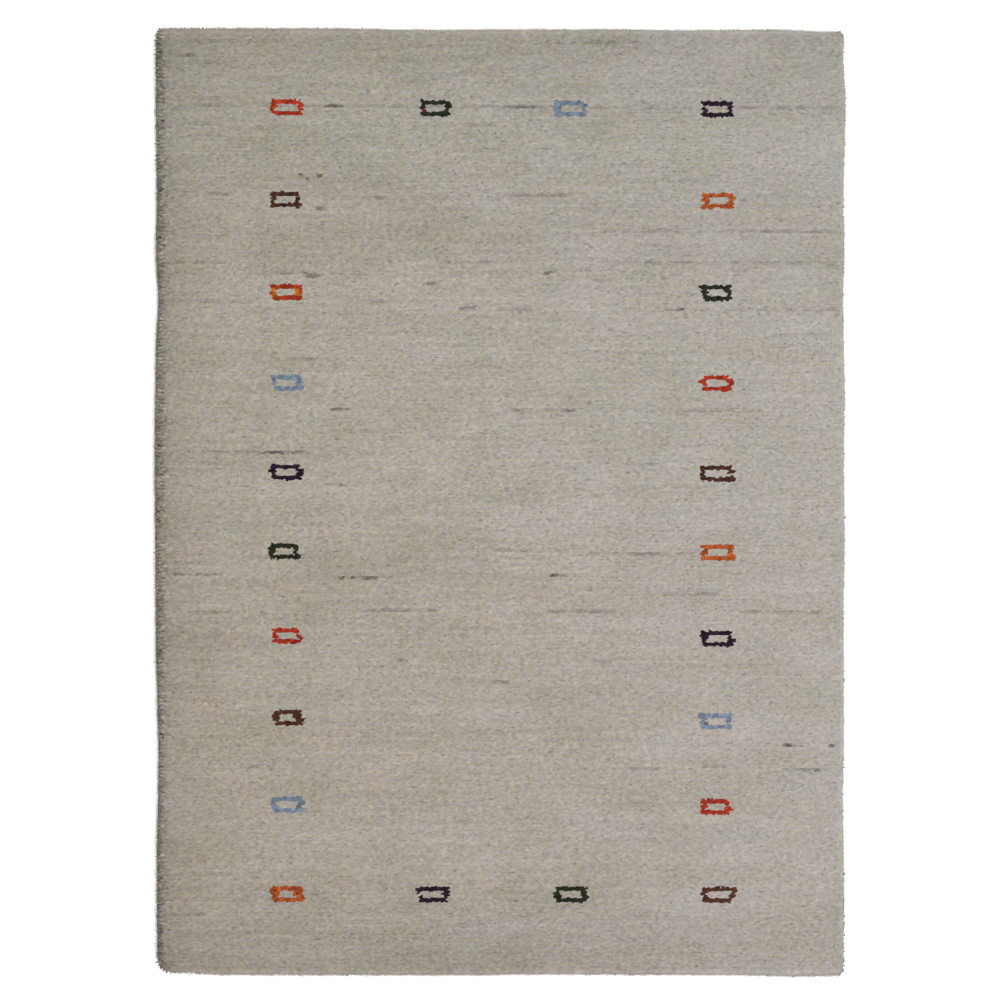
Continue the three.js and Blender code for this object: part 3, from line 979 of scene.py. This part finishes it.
def make_pile_wool():
    material, tree, shader = start_material("cut_wool_pile", MATT_WITH_SHEEN)
    # painted shade: darker towards the root and at each head's edge
    along_yarn = attribute(tree, "along")
    rise = add_math(tree, "MULTIPLY", along_yarn, 1 - ROOT_PAINTED_SHADE)
    rise = add_math(tree, "ADD", rise, ROOT_PAINTED_SHADE)
    below_tip = add_math(tree, "SUBTRACT", 1.0, along_yarn)
    edge_painted_shade = add_math(tree, "DIVIDE", below_tip, 1 - SQUARE_HEIGHT)
    edge_painted_shade = add_math(tree, "MULTIPLY", add_math(tree, "MINIMUM", edge_painted_shade, 1.0), HEAD_EDGE_PAINTED_SHADE)
    level = add_math(tree, "MULTIPLY", rise, add_math(tree, "SUBTRACT", 1.0, edge_painted_shade))
    wool = add_wool(tree, shader, level, PILE_WOOL)
    add_bump(tree, shader, wool.outputs["Height"], *PILE_BUMP)
    return material


pile_wool = make_pile_wool()
print("material:", pile_wool.name)

# %% [markdown]
# Geometry Nodes plant a yarn end on every root. The points carry each end's direction, lean, size and
# colour, and the tree turns the strand to its direction, gives it a small random twist, makes real mesh
# of it and moves its head aside. An array modifier couldn't give each copy its own lean. The pile is
# built in six bands of rows, so that no piece grows too heavy.


# %% The tree that plants the pile
def make_pile_tree():
    tree, given, result = new_group(
        "GeometryNodeTree",
        "plant_yarn_ends",
        [
            ("Roots", "Geometry", None),
            ("Yarn end", "Object", None),
            ("Most twist", "Float", 0.0),
            ("Twist seed", "Int", 0),
            ("Wool", "Material", None),
        ],
        [("Pile", "Geometry")],
    )

    def add(kind, output, inputs, **settings):
        return add_node(tree, kind, output, inputs, **settings)

    def named(name, kind="FLOAT_VECTOR"):
        return add("GeometryNodeInputNamedAttribute", "Attribute", {"Name": name}, data_type=kind)

    tilt = add("FunctionNodeAlignRotationToVector", "Rotation", {"Vector": named("tilt")}, axis="Z")
    most = given["Most twist"]
    least = add_math(tree, "MULTIPLY", most, -1.0)
    angles = {"Min": least, "Max": most, "Seed": given["Twist seed"]}
    twist = add("FunctionNodeRandomValue", "Value", angles)
    twist = add("FunctionNodeAxisAngleToRotation", "Rotation", {"Axis": (0, 0, 1), "Angle": twist})
    turns = {"Rotation": tilt, "Rotate By": twist}
    turned = add("FunctionNodeRotateRotation", "Rotation", turns, rotation_space="LOCAL")
    shape = add("GeometryNodeObjectInfo", "Geometry", {"Object": given["Yarn end"]})
    planting = {"Points": given["Roots"], "Instance": shape, "Rotation": turned, "Scale": named("size")}
    planted = add("GeometryNodeInstanceOnPoints", "Instances", planting)
    real = add("GeometryNodeRealizeInstances", "Geometry", {"Geometry": planted})
    aside = add_scaled(tree, named("lean"), named("along", "FLOAT"))
    leaning = add("GeometryNodeSetPosition", "Geometry", {"Geometry": real, "Offset": aside})
    woolly = {"Geometry": leaning, "Material": given["Wool"]}
    fill_inputs(tree, result, {"Pile": add("GeometryNodeSetMaterial", "Geometry", woolly)})
    return tree


MOST_TWIST = 0.12
TWIST_SEED = 11
BANDS = 6
MAP_COLUMNS = 188
HALF_CELL = 0.42  # how far a head reaches to each side in its cell of the map
CELL_RISE = (0.06, 0.88)  # where in its cell a root lies, and how far above it the tip
CELL_VIEW = (0.75, 0.25)  # an end is mapped as seen from the side, turned so that all its faces show


def write_attribute(mesh, name, kind, values):
    layer = mesh.attributes.new(name, kind, "POINT")
    field = {"FLOAT": "value", "FLOAT_VECTOR": "vector", "FLOAT_COLOR": "color"}[kind]
    layer.data.foreach_set(field, np.ascontiguousarray(values, np.float32).ravel())


def root_points(name, chosen):
    """A mesh of bare points, one at each chosen root, that carries what the tree and the wool read."""

    def table(*columns):
        return np.column_stack(columns)[chosen]

    zero, one = np.zeros(len(chosen)), np.ones(len(chosen))
    mesh = bpy.data.meshes.new(name)
    mesh.vertices.add(int(chosen.sum()))
    places = table(root_x, root_y, ends["root_z"])
    mesh.vertices.foreach_set("co", places.astype(np.float32).ravel())
    reach = ends["length"] / np.sqrt(1 + ends["tilt_x"] ** 2 + ends["tilt_y"] ** 2)
    lean_x = head_x - root_x - ends["tilt_x"] * reach
    lean_y = head_y - root_y - ends["tilt_y"] * reach
    size = table(ends["wide"] * wide, ends["deep"] * deep, ends["length"] + taller)
    write_attribute(mesh, "tilt", "FLOAT_VECTOR", table(ends["tilt_x"], ends["tilt_y"], one))
    write_attribute(mesh, "lean", "FLOAT_VECTOR", table(lean_x, lean_y, zero))
    write_attribute(mesh, "size", "FLOAT_VECTOR", size)
    # the colour carries the painted light and shade as well
    write_attribute(mesh, "yarn", "FLOAT_COLOR", table(yarn_colour_and_painted_light, one))
    return mesh


def lay_out_map(mesh, count):
    """A cell of the piece's own map for each yarn end, side by side in the order of the rows."""
    map_rows = math.ceil(count / MAP_COLUMNS)
    point = np.empty(len(mesh.loops), np.int32)
    mesh.loops.foreach_get("vertex_index", point)
    strand_number, local = point // len(strand_points), point % len(strand_points)
    height = np.array([z for _, _, z in strand_points])
    aside = np.array([CELL_VIEW[0] * x + CELL_VIEW[1] * y for x, y, _ in strand_points])
    u = (strand_number % MAP_COLUMNS + 0.5 + HALF_CELL * aside[local]) / MAP_COLUMNS
    v = (strand_number // MAP_COLUMNS + CELL_RISE[0] + CELL_RISE[1] * height[local]) / map_rows
    layer = mesh.uv_layers.new(name="OFBake")
    layer.data.foreach_set("uv", np.column_stack([u, v]).astype(np.float32).ravel())


def set_inputs(modifier, tree, values):
    for item in tree.interface.items_tree:
        if item.name in values:
            modifier[item.identifier] = values[item.name]


def plant_band(number, tree):
    first = round(number * KNOT_ROWS / BANDS)
    last = round((number + 1) * KNOT_ROWS / BANDS)
    chosen = (ends["row"] >= first) & (ends["row"] < last)
    name = f"pile_band_{number + 1}"
    carrier = add_object(name + "_roots", root_points(name + "_roots", chosen))
    modifier = carrier.modifiers.new("plant", "NODES")
    modifier.node_group = tree
    values = {"Yarn end": strand, "Most twist": MOST_TWIST, "Twist seed": TWIST_SEED + number}
    set_inputs(modifier, tree, {**values, "Wool": pile_wool})
    evaluated = carrier.evaluated_get(bpy.context.evaluated_depsgraph_get())
    mesh = bpy.data.meshes.new_from_object(evaluated)
    mesh.name = name
    lay_out_map(mesh, int(chosen.sum()))
    bpy.data.objects.remove(carrier)
    band = add_object(name, mesh)
    print(name, "rows", first, "to", last - 1, "triangles", len(mesh.polygons))
    return band


pile_tree = make_pile_tree()
bands = [plant_band(number, pile_tree) for number in range(BANDS)]
bpy.data.objects.remove(strand)

# %% [markdown]
# Under the pile lies the foundation: warps and wefts, with a collar of every knot showing on the back, so
# the motifs can be read there too. Its long sides are overcast with the same yarn. It is one closed mesh
# that replaces the CAD slab. Its back is flat and its edge goes up in rings. Above the overcast edge the
# rings follow the rounded edge a little inside it, and stand for the mass of wool behind the outer ends.

# %% The foundation's rings and its two faces
# inset and height in mm, from the back's rim up and in to the top
FOUNDATION_SECTION = [
    (8.2, 0.0), (6.4, 0.5), (5.7, 1.9), (6.4, 3.3), (4.6, 4.9), (1.6, 8.0), (3.0, 10.7), (5.8, 12.6),
    (10.0, 13.4), (24.0, 13.6),
]
# how far a wrap of the overcast edge stands out at each of these, in mm
WRAP_RELIEF = [0.0, 0.35, 0.45, 0.4, 0.1, 0.0, 0.0, 0.0, 0.0, 0.0]
FIRST_PILE_RING = 4
CORE_PAINTED_LEVEL = 0.92  # painted shade: the wool between the ends is painted a little darker, and much darker on the left
CORE_PAINTED_LEVEL_LEFT = 0.45
GRID_INSET = 30 * MM
COARSE_KNOTS = 8  # away from the motifs the grid's lines are this many knots apart
MOTIF_HALF_KNOTS = 11  # how far to each side of a motif's middle its grid lines go
PAST_FLANK = 130 * MM  # this far in, the painted shade of the left flank has ended


def grid_lines(count, fine):
    """Numbers of the grid's lines: a coarse spacing, and each half knot or row at the motifs."""
    coarse = set(range(0, count + 1, COARSE_KNOTS)) | {count}
    return np.array(sorted(coarse | set(fine)), float)


def motif_columns():
    lines = set()
    for _, middle, _, _ in MOTIFS:
        centre = (middle * MM + SHIFT_X) / COLUMN_PITCH + KNOT_COLUMNS / 2
        for half in range(-MOTIF_HALF_KNOTS, MOTIF_HALF_KNOTS + 1):
            lines.add(round(2 * centre) / 2 + half / 2)
    return lines


def motif_rows():
    reach = ROWS_IN_MOTIF // 2
    return {line[0] + step for line in MOTIF_LINES for step in range(-reach, reach + 1)}


print("half knots with a line of their own:", len(motif_columns()))

# %% [markdown]
# The rings go up the edge one above the other, and faces join each one to the last. The back and the top
# are grids with a line at each half knot of the motifs, so that the dyes end sharply there. A grid and
# the ring round it differ in the number of their points, so a strip of triangles is zipped in between.


# %% Stitch the foundation together
def zip_loops(outer, outer_at, inner, inner_at):
    """Triangles between two closed loops of different counts, both anticlockwise from one corner."""
    faces = []
    i = j = 0
    while i < len(outer) or j < len(inner):
        if j == len(inner) or (i < len(outer) and outer_at[i + 1] <= inner_at[j + 1]):
            faces.append((outer[i], outer[(i + 1) % len(outer)], inner[j % len(inner)]))
            i += 1
        else:
            faces.append((outer[i % len(outer)], inner[(j + 1) % len(inner)], inner[j]))
            j += 1
    return faces


def run_along(points):
    """How far round its loop each point lies, from 0 to 1, with the first point again at the end."""
    closed = np.vstack([points, points[:1]])
    steps = np.hypot(*np.diff(closed, axis=0).T)
    return np.concatenate([[0], np.cumsum(steps)]) / steps.sum()


def grid_rim(columns, rows):
    """Indices round a grid that is numbered row by row, anticlockwise from its near left corner."""
    near = list(range(columns))
    right = [row * columns + columns - 1 for row in range(1, rows)]
    far = [(rows - 1) * columns + column for column in range(columns - 2, -1, -1)]
    left = [row * columns for row in range(rows - 2, 0, -1)]
    return near + right + far + left


def ring_colours(x, y, out_x, in_pile):
    """The wool of one ring's faces: the overcast edge, or the pile's mass above it in painted shade."""
    if not in_pile:
        return np.tile(FLEECE, (len(x), 1))
    # painted shade on the mass of the pile, much darker on the left
    level = CORE_PAINTED_LEVEL + (CORE_PAINTED_LEVEL_LEFT - CORE_PAINTED_LEVEL) * share_of_left(out_x)
    return ground_and_painted_light(np.clip(x, PAST_FLANK - HALF_WIDTH, None), y) * level[:, None]


def flat_faces(start, wide, deep, facing_up):
    """The quads of a grid of points that is numbered row by row."""
    low = start + (np.arange(deep - 1)[:, None] * wide + np.arange(wide - 1)).ravel()
    quads = np.column_stack([low, low + 1, low + 1 + wide, low + wide])
    return (quads if facing_up else quads[:, ::-1]).tolist()


def add_rings(points, faces, colours):
    """The edge, ring by ring from the back up. Gives back the lowest ring and the highest one."""
    rings = []
    for level, (inset, height) in enumerate(FOUNDATION_SECTION):
        x, y, wrap = loop_at(inset * MM)
        _, out_x, out_y = inset_and_way_out(x, y)
        relief = wrap * WRAP_RELIEF[level] * MM
        x, y = wander(x + out_x * relief, y + out_y * relief)
        start = len(points)
        points.extend(np.column_stack([x, y, np.full(len(x), height * MM)]))
        rings.append(list(range(start, start + len(x))))
        if level:
            low, high = rings[-2:]
            for i in range(len(x)):
                after = (i + 1) % len(x)
                faces.append((low[i], low[after], high[after], high[i]))
            colours.append(ring_colours(x, y, out_x, level > FIRST_PILE_RING))
    return rings[0], rings[-1]


def make_grid():
    """The grid of the flat faces: where its points lie, and the ground and the dyes of its faces."""
    columns = grid_lines(KNOT_COLUMNS, motif_columns())
    rows = grid_lines(KNOT_ROWS, motif_rows())
    column_x = (columns - KNOT_COLUMNS / 2) * COLUMN_PITCH
    column_x = column_x[np.abs(column_x) < HALF_WIDTH - GRID_INSET]
    rows = rows[np.abs(row_edge(rows, 0.0)) < HALF_LENGTH - GRID_INSET]
    grid_row, grid_x = np.meshgrid(rows, column_x, indexing="ij")
    x, y = wander(grid_x.ravel(), row_edge(grid_row, grid_x).ravel())
    x, y = x.reshape(grid_x.shape), y.reshape(grid_x.shape)
    middle_x = ((x[:-1, :-1] + x[:-1, 1:]) / 2).ravel()
    single = np.diff(rows)[:, None] == 1
    middle_row = np.where(single, grid_row[:-1, :-1].astype(int), -1).ravel()
    dye, is_dyed, _ = dye_knots(middle_x - SHIFT_X, middle_row)
    return x, y, ground_and_painted_light(middle_x, y[:-1, :-1].ravel()), dye, is_dyed


def add_flat_side(points, faces, colours, ring, grid, facing_up):
    """The grid at a ring's height, and a strip of triangles between the two."""
    x, y, ground, dye, is_dyed = grid
    deep, wide = x.shape
    # painted shade on the top, which shows between the ends
    level = CORE_PAINTED_LEVEL if facing_up else 1
    start = len(points)
    height = np.full(x.size, points[ring[0]][2])
    points.extend(np.column_stack([x.ravel(), y.ravel(), height]))
    faces.extend(flat_faces(start, wide, deep, facing_up))
    colours.append(np.where(is_dyed[:, None], dye, ground * level))
    rim = [start + index for index in grid_rim(wide, deep)]
    places = np.array(points)[:, :2]
    strip = zip_loops(ring, run_along(places[ring]), rim, run_along(places[rim]))
    faces.extend(strip if facing_up else [face[::-1] for face in strip])
    strip_y = places[[face[0] for face in strip], 1]
    colours.append(ground_and_painted_light(np.zeros(len(strip)), strip_y) * level)


def make_foundation():
    points, faces, colours = [], [], []
    lowest, highest = add_rings(points, faces, colours)
    grid = make_grid()
    add_flat_side(points, faces, colours, lowest, grid, facing_up=False)
    add_flat_side(points, faces, colours, highest, grid, facing_up=True)
    mesh = bpy.data.meshes.new("rug_foundation")
    mesh.from_pydata([tuple(point) for point in points], [], faces)
    mesh.shade_smooth()
    layer = mesh.attributes.new("yarn", "FLOAT_COLOR", "FACE")
    colours = np.concatenate(colours)
    colours = np.column_stack([colours, np.ones(len(colours))])
    layer.data.foreach_set("color", colours.astype(np.float32).ravel())
    return mesh


foundation_mesh = make_foundation()
repaired = foundation_mesh.validate()
print("faces of the foundation:", len(foundation_mesh.polygons), "repaired" if repaired else "sound")

# %% [markdown]
# On the back each knot shows as two small collars side by side, and between the rows lie the wefts. Here
# that relief is a bump and painted shade in its grooves on one grid, since the back lies on the floor
# and its faces are as flat as the CAD part's.


# %% The wool of the foundation
COLLAR_ROUNDING = {"X": 0.6, "Y": 0.5}  # below 1 a collar is a broad pillow with narrow grooves beside it
COLLAR_PAINTED_LEVEL = (0.50, 0.55)  # painted shade: the grooves' level, and how much lighter the collars are painted
ABOVE_BACK = 5 * MM
BACK_BUMP = (0.8, 1.0 * MM)
FIBRES_ON_BACK = 0.3


def split_place(tree):
    split = tree.nodes.new("ShaderNodeSeparateXYZ")
    tree.links.new(object_place(tree), split.inputs["Vector"])
    return split.outputs


def make_collar_group():
    group, given, result = new_group(
        "ShaderNodeTree",
        "knot_collars",
        [("Across", "Float", COLUMN_PITCH / 2), ("Along", "Float", ROW_PITCH)],
        [("Height", "Float")],
    )
    place = split_place(group)
    waves = []
    for axis, pitch in (("X", "Across"), ("Y", "Along")):
        turns = add_math(group, "DIVIDE", place[axis], given[pitch])
        wave = add_math(group, "SINE", add_math(group, "MULTIPLY", turns, math.pi), 0.0)
        wave = add_math(group, "ABSOLUTE", wave, 0.0)
        waves.append(add_math(group, "POWER", wave, COLLAR_ROUNDING[axis]))
    fill_inputs(group, result, {"Height": add_math(group, "MULTIPLY", *waves)})
    return group


def make_foundation_wool():
    material, tree, shader = start_material("knotted_wool_back", MATT_WITH_SHEEN)
    raised = add_node(tree, "ShaderNodeGroup", "Height", {}, node_tree=make_collar_group())
    # painted shade in the grooves between the collars on the back
    back_painted_shade = add_math(tree, "MULTIPLY", raised, COLLAR_PAINTED_LEVEL[1])
    back_painted_shade = add_math(tree, "ADD", back_painted_shade, COLLAR_PAINTED_LEVEL[0])
    in_pile = add_math(tree, "GREATER_THAN", split_place(tree)["Z"], ABOVE_BACK)
    wool = add_wool(tree, shader, add_math(tree, "MAXIMUM", back_painted_shade, in_pile), PILE_WOOL)
    fibres = add_math(tree, "MULTIPLY", wool.outputs["Height"], FIBRES_ON_BACK)
    add_bump(tree, shader, add_math(tree, "ADD", raised, fibres), *BACK_BUMP)
    return material


foundation_mesh.materials.append(make_foundation_wool())
foundation = add_object("rug_foundation", foundation_mesh)

# %% [markdown]
# Each piece is tied to the root body, and the CAD slab, which the foundation stands in for, is hidden.
# The foundation was woven to its size and lies flat, with the bands of pile on it.

# %% Tie the pieces to the root body
for piece in [foundation, *bands]:
    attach(piece, "root")
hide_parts("rug")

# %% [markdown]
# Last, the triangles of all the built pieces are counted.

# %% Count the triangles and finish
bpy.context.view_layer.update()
faces = [face for piece in [foundation, *bands] for face in piece.data.polygons]
print("triangles in all:", sum(len(face.vertices) - 2 for face in faces))
